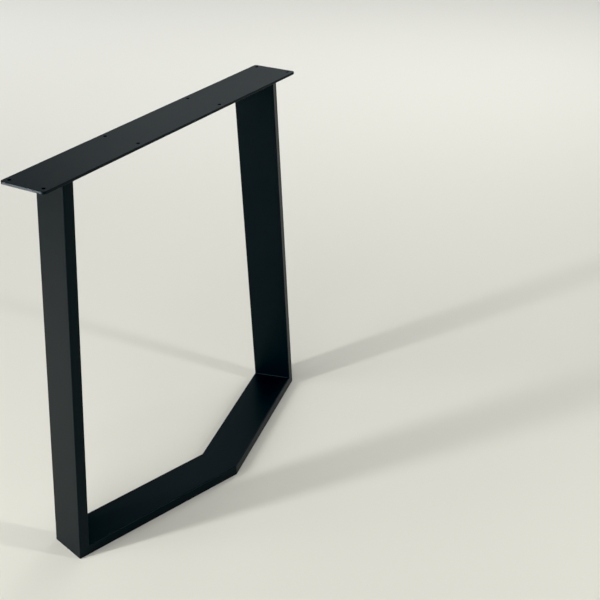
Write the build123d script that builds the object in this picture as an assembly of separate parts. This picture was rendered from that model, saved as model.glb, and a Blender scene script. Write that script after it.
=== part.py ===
"""Desk leg: a welded frame of flat rectangular steel tube under a drilled top plate.

Two uprights lean inwards and stand on two foot bars. The foot bars lie flat on the floor
and make a shallow V in plan, so the frame stands by itself. Millimetres, +Z up, X along the
plate, and -Y towards the point of the V. The origin is on the floor, in the middle of the
frame's outline. Pieces are made with the point of the V on the Z axis and moved there last.
"""
import os
from math import atan2, cos, degrees, radians, sin, tan

from build123d import *

# Overall
height = 710.0              # floor to the top of the plate

# Top plate
plate_length = 702.0
plate_width = 93.0
plate_thickness = 5.0
plate_corner_radius = 6.0
plate_edge_round = 0.8      # broken edge all round, top and bottom
hole_diameter = 7.0         # for wood screws into the desk top
hole_margin = 11.0          # hole centre to the plate's edge, both ways
inner_hole_reach = 115.0    # centre plane to the inner pairs of holes

# Rectangular tube, the same for all four members
tube_width = 80.0
tube_thickness = 20.0
tube_wall = 1.5
tube_corner_radius = 2.0    # outside

# Frame
foot_reach = 352.0          # centre plane to the front outer corner of a foot bar
sweep_angle = 15.0          # each foot bar's turn back from the plate's direction
top_inset = 54.0            # the top of an upright stands in from its foot by this

# Weld beads
plate_weld_leg = 3.0        # bead round the top of an upright
corner_weld_leg = 2.0       # bead inside the lower corner
weld_crown = 0.12           # bulge of a bead's face, as a share of its leg

# Worked out from the sizes above
turn = radians(sweep_angle)
underside = height - plate_thickness
tilt = atan2(top_inset, underside)              # an upright's lean from vertical
mitre = (radians(90) - tilt) / 2                # a lower corner's mitre, from horizontal
foot_set_back = foot_reach * tan(turn)         # outer corner behind the point of the V
bar_length = foot_reach / cos(turn)            # along the front face, to the centre plane
inner_corner_s = tube_thickness / tan(mitre)    # where the two inner faces meet
seat_length = tube_thickness / cos(tilt)        # an upright's level section, along its bar

# The frame of the left foot bar: X along the bar from its outer end, Y towards the back
bar_frame = Plane(
    origin=(-foot_reach, foot_set_back, 0),
    x_dir=(cos(turn), -sin(turn), 0),
    z_dir=(0, 0, 1),
)
# Its two cutting planes, each facing the member that keeps its material
mitre_plane = Plane(origin=(0, 0, 0), x_dir=(0, 1, 0), z_dir=(-sin(mitre), 0, cos(mitre)))
under_plate = Plane(origin=(0, 0, underside), z_dir=(0, 0, -1))
# The section plane of an upright, through the outer lower corner, its Y facing outwards
upright_section = Plane(origin=(0, 0, 0), x_dir=(0, 1, 0), z_dir=(sin(tilt), 0, cos(tilt)))

# The middle of an upright's level section under the plate, in the bar's frame
seat_centre = Vector(top_inset + seat_length / 2, tube_width / 2, underside)
plate_y = bar_frame.from_local_coords(seat_centre).Y


def tube_outline():
    """The tube's outer section: its wide side along X, its outer face on Y = 0."""
    section = RectangleRounded(tube_width, tube_thickness, tube_corner_radius)
    return Pos(tube_width / 2, -tube_thickness / 2) * section


def tube_section():
    """The tube's metal, with the bore left open."""
    bore = RectangleRounded(
        tube_width - 2 * tube_wall,
        tube_thickness - 2 * tube_wall,
        tube_corner_radius - tube_wall,
    )
    return tube_outline() - Pos(tube_width / 2, -tube_thickness / 2) * bore


def upright_length(section):
    """A section run up the line of the left upright, cut to its mitre and under the plate."""
    overrun = tube_thickness + tube_width
    start = upright_section.offset(-overrun)
    run = extrude(start * section, amount=underside / cos(tilt) + 2 * overrun)
    run = split(run, bisect_by=mitre_plane, keep=Keep.TOP)
    return split(run, bisect_by=under_plate, keep=Keep.TOP)


def left_upright():
    """Tube with its wide side facing outwards, in the vertical plane of its foot bar."""
    return bar_frame.location * upright_length(tube_section())


def left_foot_bar():
    """Tube lying flat, mitred to the upright and, on the centre plane, to its twin."""
    start = Plane(
        origin=(-tube_thickness, 0, tube_thickness), x_dir=(0, 1, 0), z_dir=(1, 0, 0)
    )
    run = extrude(start * tube_section(), amount=bar_length + tube_width)
    run = split(run, bisect_by=mitre_plane, keep=Keep.BOTTOM)
    return split(bar_frame.location * run, bisect_by=Plane.YZ, keep=Keep.BOTTOM)


def bead_face(corner, first, second, leg):
    """A bead's section: two legs out from a corner, and a crowned face between their ends."""
    a = corner + first * leg
    b = corner + second * leg
    crown = (a + b) / 2 + (first + second).normalized() * (weld_crown * leg)
    edges = [Line(corner, a), ThreePointArc(a, crown, b), Line(b, corner)]
    return make_face(edges)


def left_plate_weld():
    """A bead all round the upright's top, in the corner that it makes with the plate."""
    ring = Pos(*seat_centre) * Rot(0, 0, 90) * RectangleRounded(
        tube_width, seat_length, tube_corner_radius
    )
    inset = tube_wall / 2
    start = Vector(seat_centre.X + seat_length / 2 - inset, seat_centre.Y, underside)
    bead = bead_face(start, Vector(1, 0, 0), Vector(0, 0, -1), plate_weld_leg + inset)
    bead = sweep(bead, path=ring.wire(), transition=Transition.ROUND)
    return bar_frame.location * (bead - upright_length(tube_outline()))


def left_corner_weld():
    """A bead across the flat of the lower inside corner, between the tubes' rounded edges."""
    corner = Vector(inner_corner_s, tube_corner_radius, tube_thickness)
    face = bead_face(corner, Vector(1, 0, 0), Vector(sin(tilt), 0, cos(tilt)), corner_weld_leg)
    bead = extrude(face, amount=tube_width - 2 * tube_corner_radius, dir=(0, 1, 0))
    return bar_frame.location * bead


def top_plate():
    """Flat plate with rounded corners, broken edges and pairs of plain screw holes."""
    outline = RectangleRounded(plate_length, plate_width, plate_corner_radius)
    plate = extrude(outline, amount=plate_thickness)
    plate = fillet(plate.faces().sort_by(Axis.Z)[-1].edges(), plate_edge_round)
    plate = fillet(plate.faces().sort_by(Axis.Z)[0].edges(), plate_edge_round)
    outer_reach = plate_length / 2 - hole_margin
    row_reach = plate_width / 2 - hole_margin
    for reach in (outer_reach, inner_hole_reach):
        pairs = GridLocations(2 * reach, 2 * row_reach, 2, 2)
        plate -= pairs * extrude(Circle(hole_diameter / 2), amount=plate_thickness)
    return Pos(0, plate_y, underside) * plate


def leg():
    """Every piece by name, the right-hand ones mirrored from the left."""
    left_pieces = {
        "upright": left_upright(),
        "foot_bar": left_foot_bar(),
        "plate_weld": left_plate_weld(),
        "corner_weld": left_corner_weld(),
    }
    pieces = {"top_plate": top_plate()}
    for name, piece in left_pieces.items():
        pieces[f"left_{name}"] = piece
        pieces[f"right_{name}"] = mirror(piece, about=Plane.YZ)
    return pieces


pieces = leg()
outline = Compound(list(pieces.values())).bounding_box()
to_middle = Pos(0, -outline.center().Y, 0)

os.makedirs("parts", exist_ok=True)
for node, piece in pieces.items():
    piece = to_middle * piece
    piece.label = node
    export_step(piece, f"parts/{node}.step")
    print(f"{node}: {piece.volume / 1000:.1f} cm3")

print(f"outline {outline.size.X:.1f} x {outline.size.Y:.1f} x {outline.size.Z:.1f} mm")
print(f"plate centre at y {plate_y - outline.center().Y:.3f} mm")
print(f"uprights lean {degrees(tilt):.2f} degrees, mitre {degrees(mitre):.2f} degrees")
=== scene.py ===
# %% [markdown]
# A welded steel desk leg under a fine satin black powder coat. The frame, which comes from
# the CAD model, is the whole object at its real size. This lesson dresses it: a camera, a
# pale floor and soft lights, the coat on the steel, and the weld beads.

# %% Load the frame
from math import atan2, cos, radians, sin, tan

import bpy
import numpy as np
from mathutils import Matrix, Vector


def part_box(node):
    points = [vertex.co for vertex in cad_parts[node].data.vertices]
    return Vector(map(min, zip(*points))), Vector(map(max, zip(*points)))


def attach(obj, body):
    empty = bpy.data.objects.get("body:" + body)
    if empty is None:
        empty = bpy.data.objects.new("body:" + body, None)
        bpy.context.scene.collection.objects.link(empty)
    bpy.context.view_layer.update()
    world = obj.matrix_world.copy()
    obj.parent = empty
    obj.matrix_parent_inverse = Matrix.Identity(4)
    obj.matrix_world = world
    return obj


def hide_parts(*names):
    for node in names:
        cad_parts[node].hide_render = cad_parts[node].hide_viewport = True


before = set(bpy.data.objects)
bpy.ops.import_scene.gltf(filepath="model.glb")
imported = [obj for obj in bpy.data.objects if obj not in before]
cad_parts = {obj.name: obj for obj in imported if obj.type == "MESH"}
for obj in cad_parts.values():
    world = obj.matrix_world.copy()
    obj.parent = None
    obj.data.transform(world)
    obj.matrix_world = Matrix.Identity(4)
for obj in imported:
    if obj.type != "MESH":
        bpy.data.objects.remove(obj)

MM = 0.001
scene = bpy.context.scene
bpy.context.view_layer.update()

# %% [markdown]
# The camera stands to the left of the leg at about shoulder height and looks down on it. A
# camera is three turns and a place: heading about the vertical, pitch below the horizon,
# and a slight roll, as a camera held in the hand has. Building its matrix from those turns
# keeps each one a number that can be read and changed by itself.

# %% Camera
camera_place = Vector((-1.5367, -1.2283, 1.3856))
camera_heading = 57.294     # degrees from +Y towards +X
camera_pitch = 27.66        # degrees below the horizon
camera_roll = -1.19         # degrees about the line of sight
lens_mm = 71.28
sensor_mm = 36.0

camera_data = bpy.data.cameras.new("camera")
camera_data.lens = lens_mm
camera_data.sensor_width = sensor_mm
camera_data.clip_end = 100.0
camera = bpy.data.objects.new("camera", camera_data)
camera.matrix_world = (
    Matrix.Translation(camera_place)
    @ Matrix.Rotation(-radians(camera_heading), 4, "Z")
    @ Matrix.Rotation(radians(90.0 - camera_pitch), 4, "X")
    @ Matrix.Rotation(radians(camera_roll), 4, "Z")
)
scene.collection.objects.link(camera)
scene.camera = camera
print("camera is", round(camera_place.length, 2), "m from the leg's foot")

# %% [markdown]
# Shader maths reads best as Python expressions. Wire wraps one output socket, and its
# operators add Math nodes, so that 0.7 * grain + 0.3 * flow is one height out of two
# noises. A number may stand on either side, so each operator has its reflected form.

# %% Sockets as numbers
class Wire:
    """One output socket, on which + and * add Math nodes."""

    def __init__(self, socket):
        self.socket = socket

    def _math(self, operation, first, second):
        tree = self.socket.id_data
        made = tree.nodes.new("ShaderNodeMath")
        made.operation = operation
        for slot, value in zip(made.inputs, (first, second)):
            if isinstance(value, Wire):
                tree.links.new(value.socket, slot)
            else:
                slot.default_value = value
        return Wire(made.outputs[0])

    def __add__(self, other):
        return self._math("ADD", self, other)

    def __radd__(self, other):
        return self._math("ADD", other, self)

    def __mul__(self, other):
        return self._math("MULTIPLY", self, other)

    def __rmul__(self, other):
        return self._math("MULTIPLY", other, self)


# %% [markdown]
# Recipe builds the nodes of one material or of the world. Any node comes from its node
# method, which sets the node's choices first, such as a ramp's stops, and then its sockets,
# which may be plain values or other wires. The nodes could be typed out one by one, but
# this way a finish reads as a list of what it is made of.

# %% Recipes
def set_stops(ramp, stops):
    """Gives a colour ramp its stops, each a position and a colour."""
    while len(ramp.elements) < len(stops):
        ramp.elements.new(1.0)
    for element, (position, colour) in zip(ramp.elements, stops):
        element.position = position
        element.color = (*colour, 1.0)


class Recipe:
    """The nodes of a material or a world, emptied first, with one method to add any kind."""

    def __init__(self, owner, output_kind):
        owner.use_nodes = True
        self.owner = owner
        self.tree = owner.node_tree
        self.tree.nodes.clear()
        self.output = self.tree.nodes.new("ShaderNode" + output_kind)

    def node(self, kind, settings=(), inputs=(), output=0):
        """Adds a node: its settings by name, its inputs by name or number, one output."""
        made = self.tree.nodes.new("ShaderNode" + kind)
        for key, value in dict(settings).items():
            if key == "stops":
                set_stops(made.color_ramp, value)
            else:
                setattr(made, key, value)
        for key, value in dict(inputs).items():
            if isinstance(value, Wire):
                self.tree.links.new(value.socket, made.inputs[key])
            else:
                made.inputs[key].default_value = value
        return Wire(made.outputs[output])

    def noise(self, place, per_metre, detail):
        """A soft random pattern with about so many patches to a metre."""
        inputs = {"Vector": place, "Scale": per_metre, "Detail": detail}
        return self.node("TexNoise", inputs=inputs)

    def colour_mix(self, factor, first, second):
        """The first colour where the factor is 0, the second where it is 1.

        A Mix node has sockets for every kind of data: 0, 6 and 7 are its factor and its two
        colours, and output 2 is the mixed colour.
        """
        return self.node("Mix", {"data_type": "RGBA"}, {0: factor, 6: first, 7: second}, output=2)

    def finish(self, shader):
        """Links the shader to the output, and gives back the finished material or world."""
        self.tree.links.new(shader.socket, self.output.inputs["Surface"])
        print(self.owner.name, "has", len(self.tree.nodes), "nodes")
        return self.owner


def material(name):
    """The recipe of a new material."""
    return Recipe(bpy.data.materials.new(name), "OutputMaterial")


# %% [markdown]
# The floor is a sheet of pale studio paper, wide enough to run out of the frame. One flat
# quad is all the shape that it needs. Its finish has the faint tooth and cloudiness of matt
# paper, so that it doesn't read as empty space.

# %% Floor
floor_half = 14.0       # metres
floor_mesh = bpy.data.meshes.new("studio_floor")
floor_corners = np.array([(-1, -1, 0), (1, -1, 0), (1, 1, 0), (-1, 1, 0)]) * floor_half
floor_mesh.from_pydata(floor_corners.tolist(), [], [(0, 1, 2, 3)])
floor = bpy.data.objects.new("studio_floor", floor_mesh)
scene.collection.objects.link(floor)
print("floor is", 2 * floor_half, "m wide")

# %% Paper
paper_dim = (0.82, 0.755, 0.665, 1.0)
paper_bright = (0.84, 0.775, 0.685, 1.0)
tooth_height = 0.2 * MM


def paper():
    """Matt off-white paper: two close tones in soft clouds, and a very fine tooth."""
    mix = material("studio_paper")
    place = mix.node("TexCoord", output="Object")
    cloud = mix.noise(place, per_metre=0.7, detail=2.0)
    tooth = mix.noise(place, per_metre=350.0, detail=3.0)
    colour = mix.colour_mix(cloud, paper_dim, paper_bright)
    bump = mix.node("Bump", inputs={"Strength": 0.15, "Distance": tooth_height, "Height": tooth})
    return mix.finish(
        mix.node(
            "BsdfPrincipled",
            inputs={
                "Base Color": colour,
                "Roughness": 0.85,
                "Specular IOR Level": 0.1,
                "Normal": bump,
            },
        )
    )


floor_mesh.materials.append(paper())

# %% [markdown]
# A black satin coat shows almost nothing but reflections, so the lights make its look. Each
# light is a rectangle with a place and a point that it faces. The camera doesn't see it,
# but the coat does.

# %% Lamps
aim = Vector((0.0, 0.0, 0.36))      # the middle of the leg
cool_white = (0.92, 0.985, 1.0)
far_white = (0.80, 0.89, 1.0)


def lamp(name, place, facing, size, watts, colour, spread=180.0):
    """A rectangular area light, its face turned towards a point, its spread in degrees."""
    data = bpy.data.lights.new(name, "AREA")
    data.shape = "RECTANGLE"
    data.size, data.size_y = size
    data.energy = watts
    data.color = colour
    data.spread = radians(spread)
    made = bpy.data.objects.new(name, data)
    backwards = (Vector(place) - Vector(facing)).normalized()
    turn = backwards.to_track_quat("Z", "Y").to_matrix().to_4x4()
    made.matrix_world = Matrix.Translation(place) @ turn
    made.visible_camera = False
    scene.collection.objects.link(made)
    print(name, watts, "W at", round((Vector(place) - aim).length, 2), "m")


# %% [markdown]
# Two stands at the sides hold a tall narrow strip at each of two heights. The high strips
# throw the crossing shadows of the uprights, crisp because a strip is narrow, and the low
# ones graze the tubes. One broad soft light couldn't do both.

# %% Strips at the sides
strip_size = (0.14, 0.8)
left_stand = (-1.765, 0.973)
right_stand = (0.30, -1.90)
high, low = 1.5, 0.6        # metres above the floor
lamp("lamp_left_high", (*left_stand, high), aim, strip_size, 16.2, cool_white)
lamp("lamp_left_low", (*left_stand, low), aim, strip_size, 14.0, cool_white)
lamp("lamp_right_high", (*right_stand, high), aim, strip_size, 11.0, cool_white)
lamp("lamp_right_low", (*right_stand, low), aim, strip_size, 2.7, cool_white)

# %% [markdown]
# Broad panels behind the leg light its thin faces, so that its edges stand out from its
# dark sides. Two more, with a narrower spread, light only the floor far behind the leg, so
# that the paper stays pale up to the top of the picture.

# %% Panels behind
panel_size = (1.6, 1.0)
far_size = (1.6, 1.6)
left_floor = (2.3, 3.4, 0.0)        # places on the floor far behind the leg
right_floor = (3.1, 2.3, 0.0)
lamp("panel_behind", (2.5, 1.6, 2.5), aim, panel_size, 5.5, cool_white)
lamp("panel_right", (3.0, 0.3, 2.5), aim, panel_size, 26.0, cool_white)
lamp("panel_far_left", (0.6, 4.2, 3.2), left_floor, far_size, 24.0, far_white, spread=100.0)
lamp("panel_far_right", (4.0, -1.6, 3.2), right_floor, far_size, 20.0, far_white, spread=90.0)

# %% [markdown]
# The plate's near end is a strip only five millimetres high, and the other lights leave it
# dull. A tiny lamp close to it, with a narrow spread, draws it as a bright line.

# %% Edge lamp
edge_size = (0.10, 0.10)
beside_plate_end = (-0.67, 0.37, 0.53)
above_plate_end = (-0.40, 0.04, 0.78)
lamp("lamp_edge", beside_plate_end, above_plate_end, edge_size, 0.10, cool_white, spread=30.0)

# %% [markdown]
# The rest of the studio is the world: four walls, each a ramp of brightness over the sine
# of the elevation, from 0 at the horizon to 1 overhead, and soft joins between them. Bands
# on a ramp are easy to move until a face shows the right reflection. The plate's top, for
# one, mirrors the back walls up to some 20 degrees, and their fall-off there is what makes
# the far end of the plate paler than the near end.

# %% Bands of the walls
# A wall is a list of stops, each the sine of an elevation and the brightness there.
room_brightness = 3.4
brightest_band = 3.5
back_left = [(0.0, 0.66), (0.23, 0.66), (0.26, 0.36), (0.35, 0.36), (0.38, 0.03)]
back_right = [(0.0, 0.25), (0.23, 0.25), (0.26, 1.0), (0.34, 1.0), (0.38, 0.03)]
front_left = [
    (0.0, 1.40), (0.22, 1.40), (0.26, 0.88), (0.48, 0.88), (0.52, 3.42), (0.75, 3.42),
    (0.78, 0.03),
]
front_right = [(0.0, 0.30), (0.22, 0.30), (0.26, 0.80), (0.48, 0.80), (0.52, 0.03)]
print("stops:", len(back_left), len(back_right), len(front_left), len(front_right))

# %% Studio walls
camera_left = (-0.54, 0.84)     # compass directions, east and north
camera_ahead = (0.84, 0.54)
join_half = 0.15                # half the width of a join, as the sine of its angle

room = Recipe(bpy.data.worlds.new("studio_room"), "OutputWorld")
scene.world = room.owner
view = room.node("TexCoord", output="Generated")
east, north, height_up = (
    room.node("SeparateXYZ", inputs={"Vector": view}, output=axis) for axis in range(3)
)


def towards(direction):
    """1 on the side of the room that a direction points to, 0 on the other, softly changing."""
    side = direction[0] * east + direction[1] * north
    return room.node(
        "MapRange",
        {"interpolation_type": "SMOOTHSTEP"},
        {"Value": side, "From Min": -join_half, "From Max": join_half},
    )


def wall(bands):
    """A wall's colour by height: each band's brightness, as a share of the brightest."""
    stops = []
    for place, brightness in bands:
        share = brightness / brightest_band
        stops.append((place, tuple(share * part for part in cool_white)))
    return room.node("ValToRGB", {"stops": stops}, {"Fac": height_up})


left = towards(camera_left)
back = towards(camera_ahead)
walls = room.colour_mix(
    back,
    room.colour_mix(left, wall(front_right), wall(front_left)),
    room.colour_mix(left, wall(back_right), wall(back_left)),
)
room.finish(room.node("Background", inputs={"Color": walls, "Strength": room_brightness}))

# %% [markdown]
# A camera's processing crushes the darkest tones a little. Here the picture's black level
# is raised a trace, most in red, so the deep blacks close up and turn cool, while the pale
# floor stays as it is.

# %% Black level
black_level = (0.0055, 0.004, 0.0035)
scene.view_settings.view_transform = "Standard"
scene.view_settings.use_curve_mapping = True
scene.view_settings.curve_mapping.black_level = black_level
scene.view_settings.curve_mapping.update()
print("black level, red, green and blue:", black_level)

# %% [markdown]
# Powder coat is sprayed dry and baked, so it flows into a skin with a very fine, even grain
# and a slow unevenness under it. Its colour is black with a trace of blue-green. One flat
# colour would look like plastic, so three noises make it, from fine to broad. The grain and
# the flow are its bump. The patches move its colour a little and, with the grain, its
# roughness, which is what breaks up the reflections on the wide faces.

# %% Powder coat
coat_black = (0.0030, 0.0042, 0.0050, 1.0)
coat_pale = (0.0042, 0.0056, 0.0066, 1.0)
coat_gloss_tint = (0.75, 0.89, 1.0, 1.0)
coat_smoothest = 0.34
grain_height = 0.04 * MM


def powder_coat(name):
    """Satin black coat: a very fine grain, a slow flow under it, and broad patches."""
    mix = material(name)
    place = mix.node("TexCoord", output="Object")
    grain = mix.noise(place, per_metre=900.0, detail=2.0)
    flow = mix.noise(place, per_metre=60.0, detail=2.0)
    patch = mix.noise(place, per_metre=7.0, detail=3.0)
    colour = mix.colour_mix(patch, coat_black, coat_pale)
    height = 0.7 * grain + 0.3 * flow
    bump = mix.node("Bump", inputs={"Strength": 0.25, "Distance": grain_height, "Height": height})
    return mix.finish(
        mix.node(
            "BsdfPrincipled",
            inputs={
                "Base Color": colour,
                "Roughness": coat_smoothest + 0.05 * patch + 0.03 * grain,
                "Specular IOR Level": 0.12,
                "Specular Tint": coat_gloss_tint,
                "Normal": bump,
            },
        )
    )


coat = powder_coat("satin_black_coat")
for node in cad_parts.values():
    node.data.materials.clear()
    node.data.materials.append(coat)
print("coated", len(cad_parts), "nodes")

# %% [markdown]
# A bead laid by hand is a row of small crescents, each a puddle that froze over the last,
# under the same coat. One bead runs round the top of each upright, under the plate, and one
# lies across each lower inside corner. The beads need the frame's own lines: along the left
# foot bar, up the left upright, and the middle of the upright's level top. The right side
# is their mirror image.

# %% Lines of the left side
sweep = radians(15.0)           # the foot bar's turn back from the plate's direction
tube_width = 80.0 * MM
tube_thickness = 20.0 * MM
tube_corner = 2.0 * MM
foot_reach = 352.0 * MM         # centre plane to the foot bar's front outer corner
top_inset = 54.0 * MM           # the upright's top stands in from its foot by this
plate_low, plate_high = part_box("top_plate")
underside = plate_low.z
tilt = atan2(top_inset, underside)          # the upright's lean from vertical
seat_length = tube_thickness / cos(tilt)    # its level section, along the bar

along_bar = np.array([cos(sweep), -sin(sweep), 0.0])
to_back = np.array([sin(sweep), cos(sweep), 0.0])
up = np.array([0.0, 0.0, 1.0])
wall_up = sin(tilt) * along_bar + cos(tilt) * up
seat_x = -foot_reach + (top_inset + seat_length / 2) * cos(sweep) + tube_width / 2 * sin(sweep)
seat = np.array([seat_x, (plate_low.y + plate_high.y) / 2, underside])
print("middle of the upright's top, mm:", np.round(seat / MM, 1))

# %% [markdown]
# The bead under the plate follows the tube's level section, which is a rectangle with round
# corners. A curve object could carry it, but a bead also needs the outward direction at
# each point, and in arrays that comes along with the path.

# %% Path round a tube
def rounded_ring(length, width, radius, count):
    """Points and outward directions along a rectangle with round corners, evenly spaced.

    The path is four straights and four quarter circles. A distance along it picks the
    straight or the arc by np.interp on the angle of the outward direction, and on the
    centre that the radius swings about.
    """
    quarter = radius * np.pi / 2
    sides = np.array([width - 2 * radius, quarter, length - 2 * radius, quarter] * 2)
    marks = np.concatenate([[0.0], np.cumsum(sides)])
    angles = np.repeat(np.arange(5) * np.pi / 2, 2)[:-1]
    x = length / 2 - radius
    y = width / 2 - radius
    centres_x = np.array([x, x, x, -x, -x, -x, -x, x, x])
    centres_y = np.array([-y, y, y, y, y, -y, -y, -y, -y])
    distance = np.linspace(0.0, marks[-1], count, endpoint=False)
    angle = np.interp(distance, marks, angles)
    outward = np.stack([np.cos(angle), np.sin(angle)], axis=1)
    centre = np.stack(
        [np.interp(distance, marks, centres_x), np.interp(distance, marks, centres_y)], axis=1
    )
    return distance, centre + radius * outward, outward


# %% [markdown]
# Every bead is one closed surface over two parameters: one runs along the joint, and the
# other swings from one steel face to the other, about the line where they meet. The ripples
# are a wave along the joint that bows forward in the middle. A hand isn't quite even, so
# the bead's size wanders slowly on its way.

# %% Surface of a bead
ripple_pitch = 1.5 * MM
ripple_height = 0.22 * MM
ripple_middle = 0.6         # level of |sin| that neither swells nor thins the bead
ripple_lag = 0.45           # how far a ripple's ends lag its middle, in pitches
bead_crown = 0.16           # swelling of the face, as a share of its straight chord
root_depth = 0.5 * MM       # the hidden root lies so deep inside the steel
points_across = 13


def hand_wobble(turns, seed):
    """A slow closed wave of about plus or minus one: three harmonics with seeded phases."""
    orders = np.array([2, 5, 9])
    phases = np.random.default_rng(seed).uniform(0, 2 * np.pi, len(orders))
    return np.sin(2 * np.pi * turns[:, None] * orders + phases).sum(axis=1) / 2


def bead_surface(corner, first, second, leg, distance, ripple):
    """Grid of points of a bead, and back along its hidden root.

    With a the angle from the first face to the second, a point lies at
    corner + r (cos a first + sin a second), where r = leg / (cos a + sin a) is a straight
    chord, swollen by a crown that goes as sin 2a, and by ripples |sin| of the distance.
    """
    angle = np.linspace(0.0, np.pi / 2, points_across)
    swell = np.sin(2 * angle)
    chord = 1 / (np.cos(angle) + np.sin(angle))
    bow = ripple_lag * (angle / (np.pi / 4) - 1) ** 2
    wave = np.abs(np.sin(np.pi * (distance[:, None] / ripple_pitch + bow)))
    radius = leg[:, None] * chord * (1 + bead_crown * swell)
    radius = radius + ripple * (wave - ripple_middle) * swell
    grid = (
        corner[:, None, :]
        + (radius * np.cos(angle))[..., None] * first[:, None, :]
        + (radius * np.sin(angle))[..., None] * second[:, None, :]
    )
    root = corner - root_depth * first
    return np.concatenate([grid, root[:, None, :]], axis=1)


# %% [markdown]
# A grid becomes quads between its neighbouring rows. It always wraps across, by way of the
# root, and along the joint only where the path is a ring. A right-hand bead is another such
# grid, with a seed of its own, mirrored. Mirroring alone would turn it inside out, so its
# rows are also put in the opposite order, and the volume that the faces enclose proves that
# they point outwards.

# %% Mesh of a bead
def closed_mesh(name, grid, closed_path):
    """A mesh of quads over the grid, which wraps across and, where asked, along the path."""
    rows, columns = grid.shape[:2]
    index = np.arange(rows * columns).reshape(rows, columns)
    if closed_path:
        here, ahead = index, np.roll(index, -1, axis=0)
    else:
        here, ahead = index[:-1], index[1:]
    quads = np.stack(
        [here, ahead, np.roll(ahead, -1, axis=1), np.roll(here, -1, axis=1)], axis=-1
    ).reshape(-1, 4)
    mesh = bpy.data.meshes.new(name)
    mesh.from_pydata(grid.reshape(-1, 3).tolist(), [], quads.tolist())
    mesh.shade_smooth()
    return mesh


def signed_volume(mesh):
    """Sum of the tetrahedra from the origin to every triangle: above 0 if faces point outwards."""
    mesh.calc_loop_triangles()
    places = np.empty(len(mesh.vertices) * 3)
    mesh.vertices.foreach_get("co", places)
    corners = np.empty(len(mesh.loop_triangles) * 3, dtype=np.int32)
    mesh.loop_triangles.foreach_get("vertices", corners)
    a, b, c = places.reshape(-1, 3)[corners.reshape(-1, 3)].transpose(1, 0, 2)
    return float(np.einsum("ij,ij->", a, np.cross(b, c)) / 6)


def add_bead(node, grid, closed_path, mirrored):
    """Puts a bead in place of a CAD one. A mirrored grid is turned round to face outwards."""
    if mirrored:
        grid = grid[::-1] * np.array([-1.0, 1.0, 1.0])
    mesh = closed_mesh(node + "_bead", grid, closed_path)
    bead = bpy.data.objects.new(node + "_bead", mesh)
    scene.collection.objects.link(bead)
    mesh.materials.append(coat)
    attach(bead, "root")
    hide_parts(node)
    volume = signed_volume(mesh)
    print(bead.name, "holds", round(volume / MM**3), "mm3,", len(mesh.polygons), "quads")
    assert volume > 0


# %% [markdown]
# Under the plate, the bead swings from the plate's underside to the upright's wall. It is
# the larger of the two kinds, because it carries the plate.

# %% Beads under the plate
plate_bead_leg = 2.7 * MM
plate_bead_wander = 0.09
ring_points = 960


def plate_bead(seed):
    """The bead round the left upright's top, its rows reversed so that it faces outwards."""
    distance, ring, outward = rounded_ring(seat_length, tube_width, tube_corner, ring_points)
    corner = seat + ring[:, :1] * along_bar + ring[:, 1:] * to_back
    first = outward[:, :1] * along_bar + outward[:, 1:] * to_back
    second = np.broadcast_to(-wall_up, first.shape)
    turns = distance / (distance[-1] + distance[1])
    leg = plate_bead_leg * (1 + plate_bead_wander * hand_wobble(turns, seed))
    return bead_surface(corner, first, second, leg, distance, ripple_height)[::-1]


add_bead("left_plate_weld", plate_bead(seed=11), closed_path=True, mirrored=False)
add_bead("right_plate_weld", plate_bead(seed=12), closed_path=True, mirrored=True)

# %% [markdown]
# In the lower corner, the bead swings from the top of the foot bar to the upright's wall.
# It stops short of the tubes' round edges, and a bead's end is a round one, so the size
# falls to nothing there as a quarter circle does, and the ripples fade with it.

# %% Beads in the lower corners
corner_bead_leg = 1.8 * MM
corner_bead_wander = 0.1
end_length = 3.0 * MM
line_points = 400


def corner_bead(seed):
    """The bead across the lower inside corner, its ends rounded off."""
    inner_corner = tube_thickness / tan((radians(90) - tilt) / 2)
    inwards = top_inset + seat_length / 2 - inner_corner
    front = seat - (tube_width / 2) * to_back - inwards * along_bar
    reach = np.linspace(0.0, 1.0, line_points)
    distance = reach * (tube_width - 2 * tube_corner)
    corner = front + (tube_corner + distance)[:, None] * to_back
    corner[:, 2] = tube_thickness       # the top of the foot bar
    first = np.broadcast_to(along_bar, corner.shape)
    second = np.broadcast_to(wall_up, corner.shape)
    ends = np.clip(np.minimum(distance, distance[-1] - distance) / end_length, 0.0, 1.0)
    leg = corner_bead_leg * (1 + corner_bead_wander * hand_wobble(reach, seed))
    leg = leg * np.sqrt(ends * (2 - ends))
    return bead_surface(corner, first, second, leg, distance, ripple_height * ends[:, None])


add_bead("left_corner_weld", corner_bead(seed=13), closed_path=False, mirrored=False)
add_bead("right_corner_weld", corner_bead(seed=14), closed_path=False, mirrored=True)
